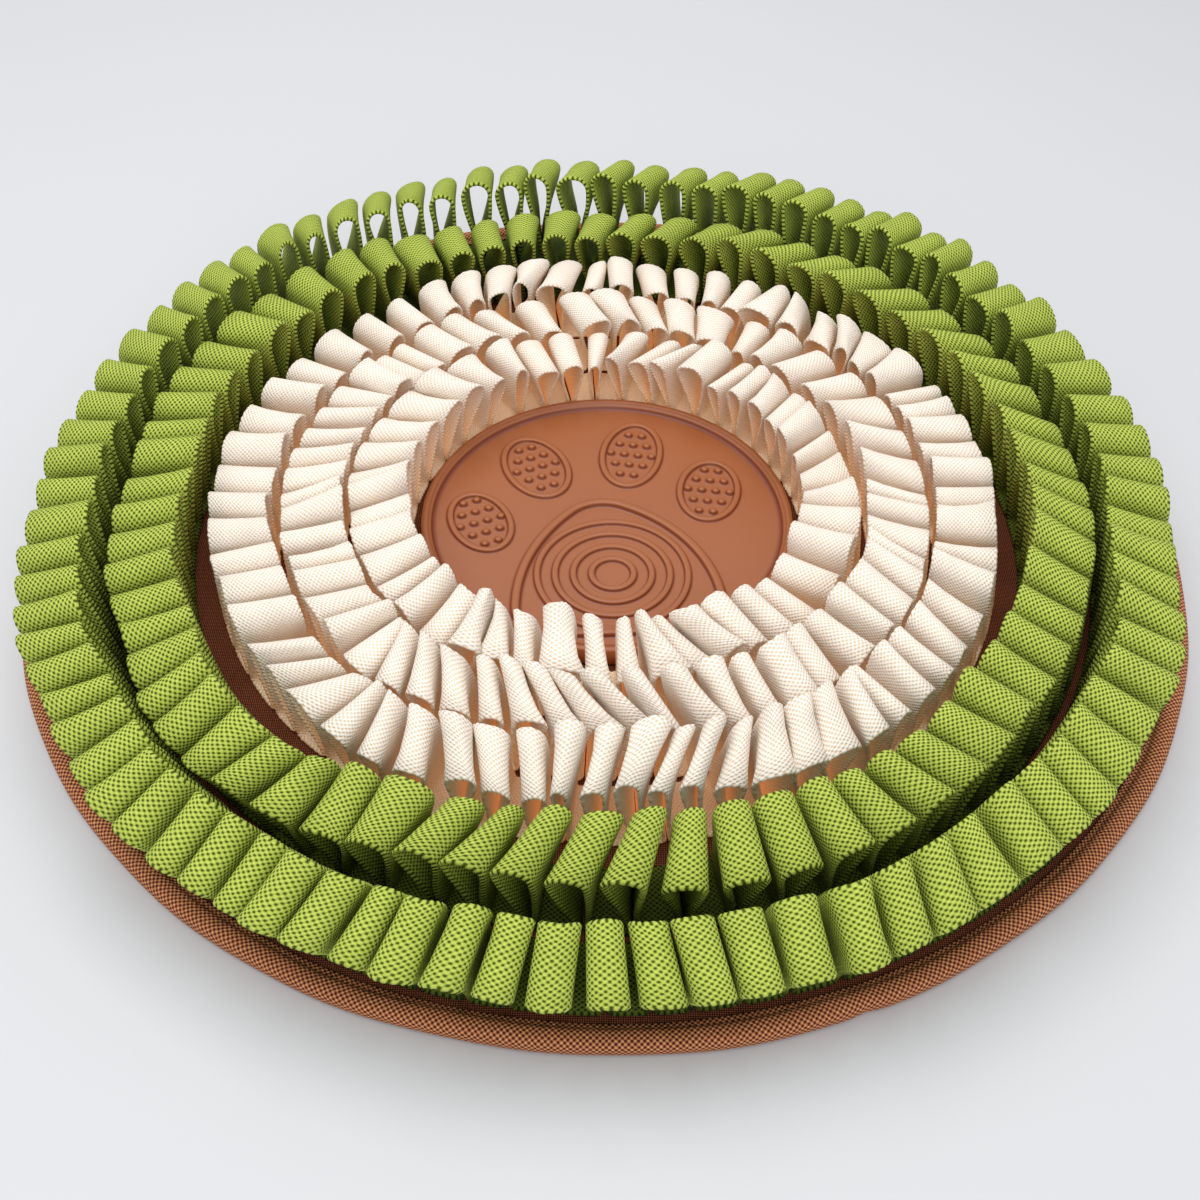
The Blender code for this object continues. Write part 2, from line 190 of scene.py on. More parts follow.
# %% How the cloths are woven
Weave = namedtuple("Weave", "across along wander depth pit staggered")
BASKET = Weave(across=1.92, along=2.05, wander=0.6, depth=0.60 * MM, pit=2.8, staggered=True)
FINE = Weave(across=1.70, along=1.60, wander=0.5, depth=0.30 * MM, pit=2.2, staggered=True)
OXFORD = Weave(across=0.72, along=0.72, wander=0.3, depth=0.25 * MM, pit=0.45, staggered=False)
COARSE = Weave(across=1.7, along=1.9, wander=0.8, depth=0.5 * MM, pit=1.6, staggered=True)
DRIFT_SCALE = 420.0           # how quickly the rows of grains wander
SWING_SCALE = 300.0           # how quickly the columns do
WANDER_REACH = 2.6            # radians that a wander of 1 gives
FULL_TURN = 2 * math.pi


def woven_height(bench, weave):
    """The height of a weave, 0 in its pits and 1 on its grains."""
    across, along = bench.cloth_plane()
    place = bench.node("ShaderNodeUVMap", {"uv_map": "cloth"})
    drift = bench.noise(place, DRIFT_SCALE) - 0.5
    swing = bench.noise(place, SWING_SCALE) - 0.5
    reach = weave.wander * WANDER_REACH
    rows = (across * (FULL_TURN / weave.across) + drift * reach).cosine()
    columns = (along * (FULL_TURN / weave.along) + swing * reach).cosine()
    if weave.staggered:
        return 1.0 - (0.5 - rows * columns * 0.5) ** weave.pit
    return (0.5 + rows * 0.5) ** weave.pit * (0.5 + columns * 0.5) ** weave.pit


print("weaves:", BASKET, FINE, OXFORD, COARSE, sep="\n")

# %% [markdown]
# ## The dyes, with painted shade, highlights and glow
#
# A woven cloth is never one colour: the threads have the dye's own colour, the pits between them
# get a darker colour, which is painted shade, and the tops of the grains a lighter one, which is a
# painted highlight.  Deep in the folds a real tape looks darker and warmer, since light only gets
# there through the cloth.  Each tape therefore gets painted shade low down and on the face that
# lies inside its loops, and the pale tape a little painted glow there, though it is no lamp.

# %% Dye the cloths and paint their shade, highlights and glow
# Each dye holds the thread's own colour and painted light: a darker colour for the pits of the weave, a
# tone for low down and one for the faces inside the loops, all painted shade; a lighter colour for the
# tops of the grains, a painted highlight; and a painted glow, though it is no lamp.
DyeAndPaintedLight = namedtuple("DyeAndPaintedLight", "pit thread light deep inside glow")
WHITE = linear(255, 255, 255)
BLACK = linear(0, 0, 0)
LEAF = DyeAndPaintedLight(pit=linear(64, 80, 2), thread=linear(154, 177, 40), light=linear(210, 222, 110),
           deep=linear(104, 116, 30), inside=linear(166, 180, 90), glow=BLACK)
CREAM = DyeAndPaintedLight(pit=linear(248, 218, 180), thread=linear(255, 244, 231), light=linear(255, 252, 247),
            deep=linear(255, 242, 224), inside=linear(252, 230, 198), glow=linear(236, 170, 112))
RUST = DyeAndPaintedLight(pit=linear(40, 10, 2), thread=linear(140, 68, 38), light=linear(214, 132, 88),
           deep=WHITE, inside=WHITE, glow=BLACK)
EMBER = DyeAndPaintedLight(pit=linear(50, 8, 0), thread=linear(190, 84, 40), light=linear(255, 196, 140),
            deep=WHITE, inside=WHITE, glow=BLACK)
# painted shade: below this height a tape gets darker and warmer
DEEP_FROM = 0.034             # the height under which a tape turns darker
DEEP_OVER = 0.030             # the height over which it does so
# the strength of the pale tape's painted glow
PAINTED_GLOW_STRENGTH = 0.22
PATCH_SCALE = 60.0
FIBRE_SCALE = 2600.0
FIBRE_BUMP = 0.15             # how far loose fibres stand out, as a share of a grain
WORN = linear(205, 205, 205)  # the tone toward which patches of a cloth darken


def tape_finish(name, weave, dye_and_painted_light, roughness, sheen):
    """A woven cloth: how it is woven, its colours with their painted shade, highlight and glow, and its
    feel.
    """
    bench = Bench(name, roughness=roughness, sheen_weight=sheen, specular_ior_level=0.25,
                  emission_strength=PAINTED_GLOW_STRENGTH)
    height = woven_height(bench, weave)
    place = bench.place()
    patches = bench.noise(place, PATCH_SCALE, 3.0)
    fibres = bench.noise(place, FIBRE_SCALE, 2.0)
    # the pits of the weave get a darker colour than the thread: painted shade
    colour = bench.mix(height ** 1.3, dye_and_painted_light.pit, dye_and_painted_light.thread)
    # the tops of the grains get a lighter colour, broken up by the fibres: a painted highlight
    colour = bench.mix(height ** 3.0 * fibres * 1.4, colour, dye_and_painted_light.light)
    colour = bench.tint(patches * 0.5, colour, WORN)
    # low down the tape gets darker and warmer: painted shade
    low_shade_and_glow = (DEEP_FROM - bench.height_above_floor()) * (1.0 / DEEP_OVER)
    colour = bench.tint(low_shade_and_glow, colour, dye_and_painted_light.deep)
    # the faces inside the loops get darker and warmer, more so low down: painted shade
    inner_face = bench.node("ShaderNodeAttribute", {"attribute_name": "inside"}, output=2)
    inner_shade_and_glow = inner_face * (0.1 + low_shade_and_glow * 0.8)
    colour = bench.tint(inner_shade_and_glow, colour, dye_and_painted_light.inside)
    bench.wear("Base Color", colour)
    # a thin pale tape lets light through, which warms its folds from within; here that is a painted glow
    bench.wear("Emission Color", bench.mix(low_shade_and_glow * 0.5 + inner_shade_and_glow * 0.5, BLACK, dye_and_painted_light.glow))
    bench.bump(height + fibres * FIBRE_BUMP, weave.depth)
    return bench.material


leaf_green = tape_finish("leaf_green_basket_tape", BASKET, LEAF, 0.8, 0.0)
soft_cream = tape_finish("soft_cream_tape", FINE, CREAM, 0.85, 0.05)
rust_oxford = tape_finish("rust_brown_oxford", OXFORD, RUST, 0.8, 0.0)
rust_coarse = tape_finish("rust_brown_binding", COARSE, EMBER, 0.7, 0.0)
print("tapes woven:", leaf_green.name, soft_cream.name, rust_oxford.name, rust_coarse.name)

# %% [markdown]
# ## Meshes from grids of points
#
# Every soft piece here is a grid of points: a tape is rows along it times places round its
# section, a turned piece is rows outward times steps round.  One function joins such a grid into
# quads, and lays the flat cloth's own coordinates over it, so that the weave follows every fold.
# Working in whole grids keeps the script quick, where moving single vertices would be slow.

# %% Join a grid of points into a mesh
def quads_of(rows, columns, closed_rows, closed_columns):
    """The four corners of each quad between neighbouring points, as rows and columns."""
    down = np.arange(rows if closed_rows else rows - 1)
    over = np.arange(columns if closed_columns else columns - 1)
    row, column = np.meshgrid(down, over, indexing="ij")
    row = row.ravel()
    column = column.ravel()
    return [(row, column), (row, column + 1), (row + 1, column + 1), (row + 1, column)]


def facing_out(places, faces):
    """Whether the faces of a closed piece face outward, by the sign of the volume inside them."""
    a, b, c, d = (places[faces[:, corner]] for corner in range(4))
    volume = (np.cross(a, b) * c).sum() + (np.cross(a, c) * d).sum()
    return volume >= 0


def mesh_from_grid(name, points, cloth, material, closed_rows=False, closed_columns=False,
                   spoken=True):
    """A smooth mesh over points (rows, columns, 3), with cloth (rows+1, columns+1, 2) as its UVs."""
    rows, columns, _ = points.shape
    places = points.reshape(-1, 3)
    corners = quads_of(rows, columns, closed_rows, closed_columns)
    faces = np.stack([(r % rows) * columns + c % columns for r, c in corners], axis=1)
    flat = np.stack([cloth[r, c] for r, c in corners], axis=1)
    if not facing_out(places, faces):
        faces = faces[:, ::-1]
        flat = flat[:, ::-1]
    mesh = bpy.data.meshes.new(name)
    mesh.from_pydata(places.tolist(), [], faces.tolist())
    layer = mesh.uv_layers.new(name="cloth")
    layer.data.foreach_set("uv", flat.astype(np.float32).ravel())
    mesh.shade_smooth()
    mesh.materials.append(material)
    mesh.update()
    thing = bpy.data.objects.new(name, mesh)
    bpy.context.scene.collection.objects.link(thing)
    if spoken:
        print(name, "has", 2 * len(faces), "triangles")
    return thing


def mark(thing, title, numbers):
    """Write a number on every point of a piece, for its material to read."""
    marks = thing.data.attributes.new(title, "FLOAT", "POINT")
    marks.data.foreach_set("value", np.asarray(numbers, np.float32))


print("grids of points can be joined into meshes")

# %% [markdown]
# ## The camera
#
# The photo looks down at the mat at about 46 degrees, from a little under 60 centimetres away.
# The camera comes first, because every later decision is made through it.

# %% Set up the camera
CAMERA_PLACE = Vector((-0.00232, -0.42567, 0.40184))
CAMERA_PITCH = 45.898
CAMERA_ROLL = 0.997
LENS = 43.5

eye = bpy.data.cameras.new("photo_camera")
eye.lens = LENS
eye.clip_start = 0.01
camera = bpy.data.objects.new("photo_camera", eye)
camera.matrix_world = (Matrix.Translation(CAMERA_PLACE)
                       @ Matrix.Rotation(math.radians(90 - CAMERA_PITCH), 4, "X")
                       @ Matrix.Rotation(math.radians(CAMERA_ROLL), 4, "Z"))
bpy.context.scene.collection.objects.link(camera)
bpy.context.scene.camera = camera
print("the camera is", round(CAMERA_PLACE.length, 3), "m from the origin")

# %% [markdown]
# ## Floor and light
#
# The mat lies on a plain pale floor that fills the picture.  The light is a studio's: one wide
# soft panel overhead, a weaker one from the front, and an even glow from all round.  Wide panels
# are used since small lamps would draw hard shadows, and the photo shows hardly any.

# %% Lay the floor and hang the lights
FLOOR_SIZE = 6.0
GLOW_ALL_ROUND = 0.58
GLOW_COLOUR = linear(252, 252, 255)


def floor_finish():
    bench = Bench("studio_floor", roughness=0.6)
    patches = bench.noise(bench.place(), 3.0)
    bench.wear("Base Color", bench.mix(patches, linear(203, 204, 206), linear(206, 207, 209)))
    return bench.material


def soft_panel(name, place, size, power, aim=(0.0, 0.0, 0.0)):
    """A square panel of light that faces aim."""
    light = bpy.data.lights.new(name, "AREA")
    light.size = size
    light.energy = power
    panel = bpy.data.objects.new(name, light)
    panel.location = place
    panel.rotation_euler = (Vector(aim) - Vector(place)).to_track_quat("-Z", "Y").to_euler()
    bpy.context.scene.collection.objects.link(panel)
    return panel


bpy.ops.mesh.primitive_grid_add(x_subdivisions=8, y_subdivisions=8, size=FLOOR_SIZE)
floor = bpy.context.object
floor.name = "studio_floor"
floor.data.materials.append(floor_finish())

soft_panel("overhead_panel", place=(-0.2, 0.15, 1.4), size=1.5, power=18.0)
soft_panel("front_panel", place=(0.2, -1.2, 0.9), size=0.9, power=4.8)

world = bpy.data.worlds.new("studio_glow")
world.use_nodes = True
background = world.node_tree.nodes["Background"]
background.inputs["Color"].default_value = GLOW_COLOUR
background.inputs["Strength"].default_value = GLOW_ALL_ROUND
bpy.context.scene.world = world
bpy.context.scene.view_settings.view_transform = "Standard"
bpy.context.scene.view_settings.look = "None"
print("floor and lights are up")

# %% [markdown]
# ## How the rings of loops are described
#
# Each ring is one length of tape.  A short table gives its sections, counter-clockwise from the
# right: where each starts (degrees), how many loops it has, how far their tops turn (yaw, degrees),
# lean outward (millimetres) and droop (degrees), and how tall they stand.  The tables repeat those
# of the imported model.  Only the neck is a little narrower here.

# %% The tables of the five rings
BASE_HEIGHT = 0.004
GAP = 0.0003
LEAN_POWER = 1.3              # how a loop's lean grows from its sewn foot to its top
NECK = 0.16                   # how far apart a loop's two legs stand at the foot, as a share of the pitch
SHOULDER = 0.9                # how far the shoulders lie below the top, in half widths of a loop

Section = namedtuple("Section", "start loops yaw lean droop tall")
Ring = namedtuple(
    "Ring", "name foot_radius width thick height crown uneven twist stray seed sections")

OUTER_GREEN = (
    Section(1.0, 6, 1, -5, 6, 1.00),
    Section(36.0, 4, -1, 1, 6, 1.01),
    Section(52.4, 3, -12, 2, 7, 1.02),
    Section(64.7, 8, -22, 2, 9, 1.03),
    Section(101.5, 7, -25, 0, 10, 1.03),
    Section(134.6, 7, -14, -2, 11, 1.02),
    Section(169.7, 6, -14, -1, 14, 0.99),
    Section(199.9, 7, -26, 9, 19, 1.00),
    Section(225.7, 5, -2, 16, 23, 1.00),
    Section(243.1, 5, -19, 17, 25, 1.00),
    Section(260.7, 2, -11, 18, 26, 1.00),
    Section(268.1, 3, 13, 18, 25, 1.00),
    Section(279.5, 6, -10, 16, 24, 1.00),
    Section(304.2, 3, -3, 9, 21, 1.00),
    Section(317.2, 4, 11, 5, 19, 1.00),
    Section(334.5, 6, -5, -4, 12, 0.99),
)
INNER_GREEN = (
    Section(0.0, 5, -32, -7, 7, 0.98),
    Section(33.0, 4, -31, -8, 4, 0.98),
    Section(59.0, 2, -44, -5, 6, 0.98),
    Section(71.3, 4, -28, -8, 4, 0.96),
    Section(96.0, 6, -7, -8, 2, 0.96),
    Section(129.8, 2, -12, -4, 2, 0.98),
    Section(142.2, 4, 15, -3, 3, 0.98),
    Section(167.0, 5, 2, -6, 6, 1.00),
    Section(194.2, 6, -14, 3, 13, 1.00),
    Section(222.0, 2, -3, 12, 18, 1.02),
    Section(231.5, 2, -30, 12, 20, 1.00),
    Section(241.0, 1, 8, 8, 21, 0.94),
    Section(246.0, 2, -40, 5, 21, 0.98),
    Section(256.0, 5, -30, 6, 24, 1.02),
    Section(280.8, 3, 2, 7, 24, 1.02),
    Section(295.2, 3, 30, 6, 22, 1.00),
    Section(309.6, 4, 12, -1, 17, 1.00),
    Section(331.0, 5, -18, -4, 11, 1.00),
)
OUTER_CREAM = (
    Section(0.0, 4, -3, -6, 5, 0.95),
    Section(21.7, 3, 12, -7, 3, 0.94),
    Section(38.0, 3, 36, -8, 0, 0.93),
    Section(55.7, 2, -2, -8, 0, 0.94),
    Section(67.4, 4, 22, -8, 0, 0.95),
    Section(91.0, 4, -29, -7, 4, 0.97),
    Section(114.3, 2, -6, -7, 2, 0.97),
    Section(126.0, 7, 1, -6, 4, 0.95),
    Section(180.0, 7, -20, 0, 9, 0.98),
    Section(223.0, 2, -42, 6, 14, 0.98),
    Section(233.4, 2, -4, 8, 17, 1.00),
    Section(243.9, 3, 36, 6, 20, 1.00),
    Section(259.5, 7, -32, 4, 24, 1.04),
    Section(289.0, 3, -28, 6, 23, 1.02),
    Section(302.7, 4, 8, 2, 18, 1.00),
    Section(321.0, 3, -20, -1, 13, 0.97),
    Section(340.5, 3, 32, -5, 7, 0.95),
)
MIDDLE_CREAM = (
    Section(0.0, 5, -26, -7, 5, 0.90),
    Section(47.0, 6, 24, -8, -2, 0.94),
    Section(91.0, 4, 22, -8, -2, 0.92),
    Section(128.0, 3, -3, -7, 1, 0.94),
    Section(147.0, 6, 7, -5, 5, 0.95),
    Section(185.0, 2, 7, -1, 9, 0.97),
    Section(197.0, 3, -20, 1, 11, 0.98),
    Section(215.0, 2, -38, 4, 13, 0.98),
    Section(227.0, 1, 0, 6, 15, 0.98),
    Section(232.4, 3, 42, 7, 17, 1.00),
    Section(248.5, 4, 40, 5, 20, 1.02),
    Section(270.0, 3, 31, 5, 24, 1.06),
    Section(286.5, 3, 3, 6, 22, 1.05),
    Section(303.0, 5, 4, 3, 16, 0.98),
    Section(335.0, 4, -14, -4, 8, 0.92),
)
INNER_CREAM = (
    Section(0.0, 6, 30, -7, 3, 0.92),
    Section(49.0, 2, -6, -8, 0, 0.92),
    Section(65.0, 3, -44, -8, -2, 0.90),
    Section(89.0, 3, -6, -8, -3, 0.86),
    Section(115.0, 6, 13, -6, 2, 0.95),
    Section(176.0, 3, 8, -1, 8, 0.97),
    Section(200.0, 4, -19, 3, 11, 0.98),
    Section(232.0, 2, 2, 7, 17, 1.00),
    Section(244.7, 2, 34, 6, 18, 1.02),
    Section(257.3, 2, 4, 6, 22, 1.06),
    Section(270.0, 2, 11, 6, 24, 1.10),
    Section(283.0, 3, 36, 5, 22, 1.06),
    Section(302.5, 1, 8, 4, 18, 1.00),
    Section(309.0, 5, 24, -2, 9, 0.92),
)

# name, foot radius, width, thickness, height, crown, unevenness, twist in degrees, stray in
# millimetres, seed and sections
RINGS = (
    Ring("outer_green_loops", 0.2015, 0.0250, 0.0018, 0.0420, 0.73, 0.10, 3, 0.9, 11, OUTER_GREEN),
    Ring("inner_green_loops", 0.1740, 0.0250, 0.0018, 0.0380, 0.73, 0.10, 3, 0.9, 12, INNER_GREEN),
    Ring("outer_cream_loops", 0.1410, 0.0240, 0.0013, 0.0340, 0.74, 0.16, 5, 0.6, 13, OUTER_CREAM),
    Ring("middle_cream_loops", 0.1150, 0.0240, 0.0013, 0.0340, 0.74, 0.16, 5, 0.6, 14, MIDDLE_CREAM),
    Ring("inner_cream_loops", 0.0890, 0.0235, 0.0013, 0.0330, 0.74, 0.16, 5, 0.6, 15, INNER_CREAM),
)
print("loops in each ring:", [sum(section.loops for section in ring.sections) for ring in RINGS])

# %% [markdown]
# ## One folded tape
#
# The real tape is folded by hand and sewn down at each foot, so no two loops are alike.  Cloth
# simulation could fold it too, but 27 metres of tape make that slow and hard to steer.  Here each
# loop is placed from its section of the table, with small seeded differences: a firm green tape is
# folded evenly, a loose cream one far less so.

# %% Where each loop stands
Loop = namedtuple("Loop", "azimuth yaw lean droop tall belly girth tilt flare curl phase")
Hand = namedtuple("Hand", "turn reach rise belly girth tilt flare curl")
FIRM_HAND = Hand(turn=4, reach=0.5, rise=0.03, belly=(0.75, 1.5), girth=(0.84, 1.06), tilt=0.9,
                 flare=0.10, curl=0.5)
LOOSE_HAND = Hand(turn=12, reach=1.0, rise=0.08, belly=(0.6, 1.6), girth=(0.62, 1.12), tilt=2.0,
                  flare=0.2, curl=0.8)
USUAL_FLARE = 0.02


def ends_of(sections):
    """Where each section ends, in degrees, which is where the next one starts."""
    ends = []
    for i, section in enumerate(sections):
        end = sections[(i + 1) % len(sections)].start
        ends.append(end if end > section.start else end + 360.0)
    return ends


def eased(share):
    """A share from 0 to 1, made to start and end gently."""
    return share * share * (3 - 2 * share)


def section_value(ring, azimuth, field):
    """A column of the ring's table, blended smoothly between the middles of its sections."""
    count = len(ring.sections)
    ends = ends_of(ring.sections)
    middles = [(section.start + end) / 2 for section, end in zip(ring.sections, ends)]
    azimuth = (azimuth - middles[0]) % 360.0 + middles[0]
    for i in range(count):
        after = middles[i + 1] if i + 1 < count else middles[0] + 360.0
        if azimuth <= after:
            share = eased((azimuth - middles[i]) / (after - middles[i]))
            first = getattr(ring.sections[i], field)
            second = getattr(ring.sections[(i + 1) % count], field)
            return first + (second - first) * share
    return getattr(ring.sections[0], field)


def loops_of(ring, hand):
    """Every loop of a ring, with the small differences that folding by hand gives."""
    chance = random.Random(ring.seed)
    feel = random.Random(ring.seed + 100)
    loops = []
    for section, end in zip(ring.sections, ends_of(ring.sections)):
        step = (end - section.start) / section.loops
        for k in range(section.loops):
            azimuth = section.start + (k + 0.5 + chance.uniform(-1, 1) * ring.uneven) * step
            tall = section.tall * (1 + chance.uniform(-1, 1) * ring.uneven / 2)
            twist = chance.uniform(-1, 1) * ring.twist
            stray = chance.uniform(-1, 1) * ring.stray
            twist += feel.uniform(-1, 1) * hand.turn
            stray += feel.uniform(-1, 1) * hand.reach
            tall *= 1 + feel.uniform(-1, 0.6) * hand.rise
            loops.append(Loop(
                azimuth,
                math.radians(section_value(ring, azimuth, "yaw") + twist),
                (section_value(ring, azimuth, "lean") + stray) * MM,
                math.radians(section_value(ring, azimuth, "droop")),
                tall,
                feel.uniform(*hand.belly),
                feel.uniform(*hand.girth),
                feel.uniform(-1, 1) * hand.tilt * MM,
                feel.gauss(USUAL_FLARE, hand.flare),
                abs(feel.gauss(hand.curl, hand.curl / 2)) * MM,
                feel.uniform(0, FULL_TURN)))
    return loops


print("the outer ring's first loop:", loops_of(RINGS[0], FIRM_HAND)[0])

# %% [markdown]
# A loop seen along its tunnel is a drop: flat feet on the cloth, legs that part as they rise, and a
# round top.  The drop is drawn as half a line and mirrored.  The legs follow a smooth step, whose
# belly says how low the loop is widest, and the top is a quarter of an oval.

# %% The line of one loop
FOOT_BEND = 0.0016
FOOT_POINTS = 8
LEG_POINTS = 40
TOP_POINTS = 24


def half_line(half_gap, neck, half, shoulder, top, belly):
    """Half a loop, from the middle of its foot to its top, as (out, up) points."""
    out = [half_gap]
    up = [0.0]
    for step in range(FOOT_POINTS + 1):
        angle = math.pi / 2 * step / FOOT_POINTS
        out.append(neck + FOOT_BEND * (1 - math.sin(angle)))
        up.append(FOOT_BEND * (1 - math.cos(angle)))
    for step in range(1, LEG_POINTS):
        share = step / LEG_POINTS
        out.append(neck + (half - neck) * eased(share ** belly))
        up.append(FOOT_BEND + (shoulder - FOOT_BEND) * share)
    for step in range(TOP_POINTS + 1):
        angle = math.pi / 2 * step / TOP_POINTS
        out.append(half * math.cos(angle))
        up.append(shoulder + (top - shoulder) * math.sin(angle))
    return np.array(out), np.array(up)


def tape_line(ring, loops):
    """The whole tape's line: distance round the foot circle, height, and the loop's number."""
    scale = math.radians(1.0) * ring.foot_radius
    distance = []
    high = []
    number = []
    for i, loop in enumerate(loops):
        left = (loop.azimuth - loops[i - 1].azimuth) % 360.0 / 2 * scale
        right = (loops[(i + 1) % len(loops)].azimuth - loop.azimuth) % 360.0 / 2 * scale
        top = ring.height * loop.tall
        shoulder = top - (left + right) / 2 * ring.crown * SHOULDER
        for side, span in ((-1, left), (1, right)):
            half = span * ring.crown * loop.girth
            out, up = half_line(span, span * NECK, half, shoulder, top, loop.belly)
            out, up = (-out, up) if side == -1 else (out[::-1][1:], up[::-1][1:])
            distance.append(loop.azimuth * scale + out)
            high.append(up)
            number.append(np.full(len(up), i))
    return np.concatenate(distance), np.concatenate(high), np.concatenate(number)


outer_loops = loops_of(RINGS[0], FIRM_HAND)
print("the outer ring's line has", len(tape_line(RINGS[0], outer_loops)[0]), "points")

# %% [markdown]
# The whole tape's line is then cut into even steps, so that its grains stay the same size all the
# way along.  Last comes the standing up: the higher a point lies, the more it is turned, leant and
# tipped, which leaves the feet where they are sewn.  Values between two loops are blended, so that
# this step alone never folds the tape through itself.

# %% The tape's own steps
CLOSEST = 0.02 * MM           # points nearer than this are one point


def even_steps(ring, loops, step):
    """The tape's line cut into even steps: distance, height, loop's number, and the whole length."""
    line, high, number = tape_line(ring, loops)
    whole = FULL_TURN * ring.foot_radius
    line = np.append(line, line[0] + whole)
    high = np.append(high, high[0])
    keep = np.append(True, np.hypot(np.diff(line), np.diff(high)) > CLOSEST)
    line = line[keep]
    high = high[keep]
    number = np.append(number, number[0])[keep]
    length = np.append(0.0, np.cumsum(np.hypot(np.diff(line), np.diff(high))))
    count = 2 * round(length[-1] / step / 2)
    even = np.linspace(0, length[-1], count, endpoint=False)
    # the loop's number belongs to the stretch, so it is read as a step and not blended
    owner = number[np.searchsorted(length, even, side="right") - 1]
    return np.interp(even, length, line), np.interp(even, length, high), owner, length[-1]


def between_loops(loops, azimuth, field):
    """A value at any azimuth, in proportion between the two loops on either side of it."""
    places = [loop.azimuth for loop in loops]
    values = [getattr(loop, field) for loop in loops]
    return np.interp(azimuth, places, values, period=360.0)


def stand(ring, loops, azimuth, across, height):
    """Where points of the tape lie once its loops are turned, leant and tipped."""
    grown = np.maximum(0.0, height / ring.height) ** LEAN_POWER
    lean = between_loops(loops, azimuth, "lean")
    yaw = between_loops(loops, azimuth, "yaw")
    droop = between_loops(loops, azimuth, "droop")
    level = across * (1 + (np.cos(droop) * np.cos(yaw) - 1) * grown)
    radius = ring.foot_radius + level + lean * grown
    angle = np.radians(azimuth) + level * np.tan(yaw) * grown / radius
    lowered = np.where(height > 0, height * np.cos(np.arcsin(lean / ring.height)), height)
    z = BASE_HEIGHT + GAP + ring.thick / 2 + lowered - across * np.sin(droop) * grown
    return np.stack([radius * np.cos(angle), radius * np.sin(angle), z], axis=-1)


outer_length = even_steps(RINGS[0], outer_loops, MM)[3]
print("the outer ring's line is", round(outer_length, 2), "m long")

# %% [markdown]
# ## Loft the tapes
#
# Each step of the line gets a section: a flat strip with rounded edges that go in and out, as a
# woven edge does.  Hand folding is added here, point by point: a top that sits to one side, a
# tunnel that opens toward one end, and edges that curl.  In the loose cream tapes this lets a few
# neighbouring tops press into each other, which a simulation would have kept apart.  The faces that
# lie inside the loops are marked, so that their colour can get painted shade there, darker and
# warmer, and the pale tape its painted glow.

# %% Loft the tape
SCALLOP = 0.16 * MM           # how far the woven edge goes in and out
EDGE_ROUND = 0.45             # how much narrower than its edge a face of the tape is, in thicknesses
GREEN_STEP = 1.0 * MM
CREAM_STEP = 1.1 * MM
CURL_WAVES = 4.0              # radians of curl from the foot of a loop to its top
EDGE_WEAR = (0.2, 1.2)        # the least and most of a scallop that one step of the edge gets
SECTION_PLACES = (            # share of the half width, side of the middle line
    (-1, 1), (-0.4, 1), (0.4, 1), (1, 1), (1, 0),
    (1, -1), (0.4, -1), (-0.4, -1), (-1, -1), (-1, 0))


def folded_tape(ring, name, material, hand, step):
    """A whole ring of loops as one closed strip of tape."""
    loops = loops_of(ring, hand)
    line, high, owner, length = even_steps(ring, loops, step)
    whole = FULL_TURN * ring.foot_radius
    ahead = np.append(line[1:], line[0] + whole)
    behind = np.append(line[-1] - whole, line[:-1])
    slope = np.stack([ahead - behind, np.roll(high, -1) - np.roll(high, 1)], axis=1)
    slope /= np.linalg.norm(slope, axis=1, keepdims=True)
    normal = np.stack([-slope[:, 1], slope[:, 0]], axis=1)
    scale = math.radians(1.0) * ring.foot_radius
    azimuth = line / scale
    tilt, flare, curl, phase = (
        between_loops(loops, azimuth, field) for field in ("tilt", "flare", "curl", "phase"))
    from_middle = line - np.array([loop.azimuth for loop in loops])[owner] * scale
    share_up = high / ring.height
    grown = share_up ** LEAN_POWER
    wear = np.random.default_rng(ring.seed).uniform(*EDGE_WEAR, len(line))
    scallop = SCALLOP * np.where(np.arange(len(line)) % 2 == 0, wear, -wear)
    half = ring.width / 2
    columns = []
    flat = []
    for share, side in SECTION_PLACES:
        at_edge = abs(share) == 1
        reach = share * (half if side == 0 else half - EDGE_ROUND * ring.thick * at_edge)
        across = reach + np.sign(share) * scallop * at_edge
        around = line + normal[:, 0] * side * ring.thick / 2
        around = around + tilt * grown + from_middle * flare * share * grown
        around = around + curl * grown * share * np.sin(share_up * CURL_WAVES + phase)
        lift = curl * share * share * share_up * (0.6 + 0.4 * np.sin(phase + line / half * 0.5))
        around = around + normal[:, 0] * lift
        height = high + normal[:, 1] * (side * ring.thick / 2 + lift)
        columns.append(stand(ring, loops, around / scale, across, height))
        flat.append(share * half)
    points = np.stack(columns, axis=1)
    reach = np.linspace(0, length, len(line) + 1)
    wide = np.array(flat + flat[:1])
    cloth = np.stack(np.broadcast_arrays(wide[None, :], reach[:, None]), axis=2)
    thing = mesh_from_grid(name, points, cloth, material, True, True)
    # 1 on the faces inside the loops, where the material lays painted shade and the painted glow
    inner_face = [(1 - side) / 2 for share, side in SECTION_PLACES]
    mark(thing, "inside", np.tile(inner_face, len(line)))
    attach(thing, "root")
    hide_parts(ring.name)
    print(name, "is a tape", round(length, 2), "m long with", len(loops), "loops")
    return thing


for ring in RINGS:
    title = ring.name.replace("loops", "tape")
    if "green" in ring.name:
        tape = folded_tape(ring, title, leaf_green, FIRM_HAND, GREEN_STEP)
    else:
        tape = folded_tape(ring, title, soft_cream, LOOSE_HAND, CREAM_STEP)

# %% [markdown]
# ## The cloth base
#
# The base is two layers of coarse cloth over thin felt.  A disc of points, a little padded
# between the lines of stitching, carries the weave straight across, as the cloth was cut.  A plain
# cylinder would do for the shape, but its flat cloth would be laid out wrongly.

